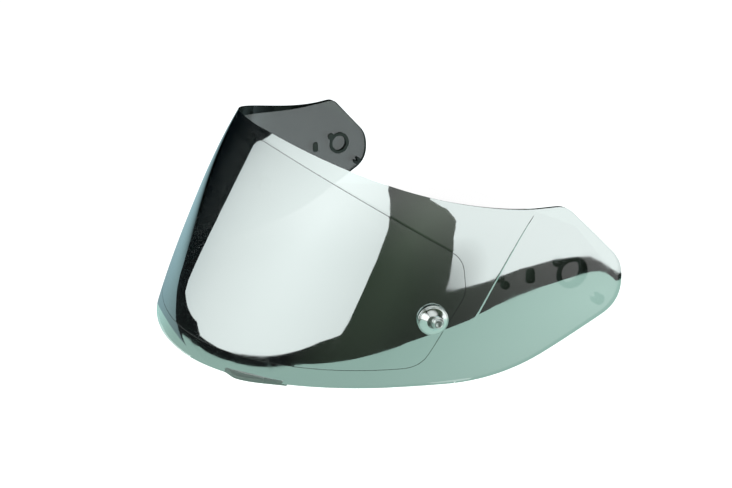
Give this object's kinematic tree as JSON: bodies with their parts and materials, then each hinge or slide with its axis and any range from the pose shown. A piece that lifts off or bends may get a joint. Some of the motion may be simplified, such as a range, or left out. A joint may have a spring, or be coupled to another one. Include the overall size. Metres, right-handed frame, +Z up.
{
  "type": "motorcycle helmet visor",
  "caption": "Curved mirror-tinted helmet visor with pivot lugs in its side wings, a clear anti-fog insert behind it and turning tear-off posts that tighten the insert.",
  "frame": {"origin": "middle of the underside of the whole visor, on the surface that it stands on", "axes": "+X to the wearer's left, +Y to the rear, +Z up, with the visor standing on its lower edge"},
  "size_m": [0.2434, 0.1712, 0.093],
  "materials": {
    "mirror_smoke": "smoke-tinted moulded polycarbonate with a silver mirror film on the outside",
    "clear_insert": "clear cellulose sheet with a faint grey-green tint",
    "silicone": "translucent silicone bead",
    "post_chrome": "turned and bright plated",
    "washer_rubber": "matt black",
    "pin_plastic": "moulded nylon",
    "screw_steel": "plated steel"
  },
  "bodies": {
    "shield": {"shield": "mirror_smoke", "antifog_insert": "clear_insert", "insert_bead": "silicone"},
    "left_post": {"left_post_button": "post_chrome", "left_post_washer": "washer_rubber", "left_insert_pin": "pin_plastic", "left_pin_screw": "screw_steel"},
    "right_post": {"right_post_button": "post_chrome", "right_post_washer": "washer_rubber", "right_insert_pin": "pin_plastic", "right_pin_screw": "screw_steel"}
  },
  "joints": [
    {"name": "left_post_turn", "type": "hinge", "parent": "shield", "child": "left_post", "pos_m": [0.10236, 0.00405, 0.0291], "axis": [0.9202, -0.3585, 0.1575], "continuous": true},
    {"name": "right_post_turn", "type": "hinge", "parent": "shield", "child": "right_post", "pos_m": [-0.10236, 0.00405, 0.0291], "axis": [-0.9202, -0.3585, 0.1575], "continuous": true}
  ]
}
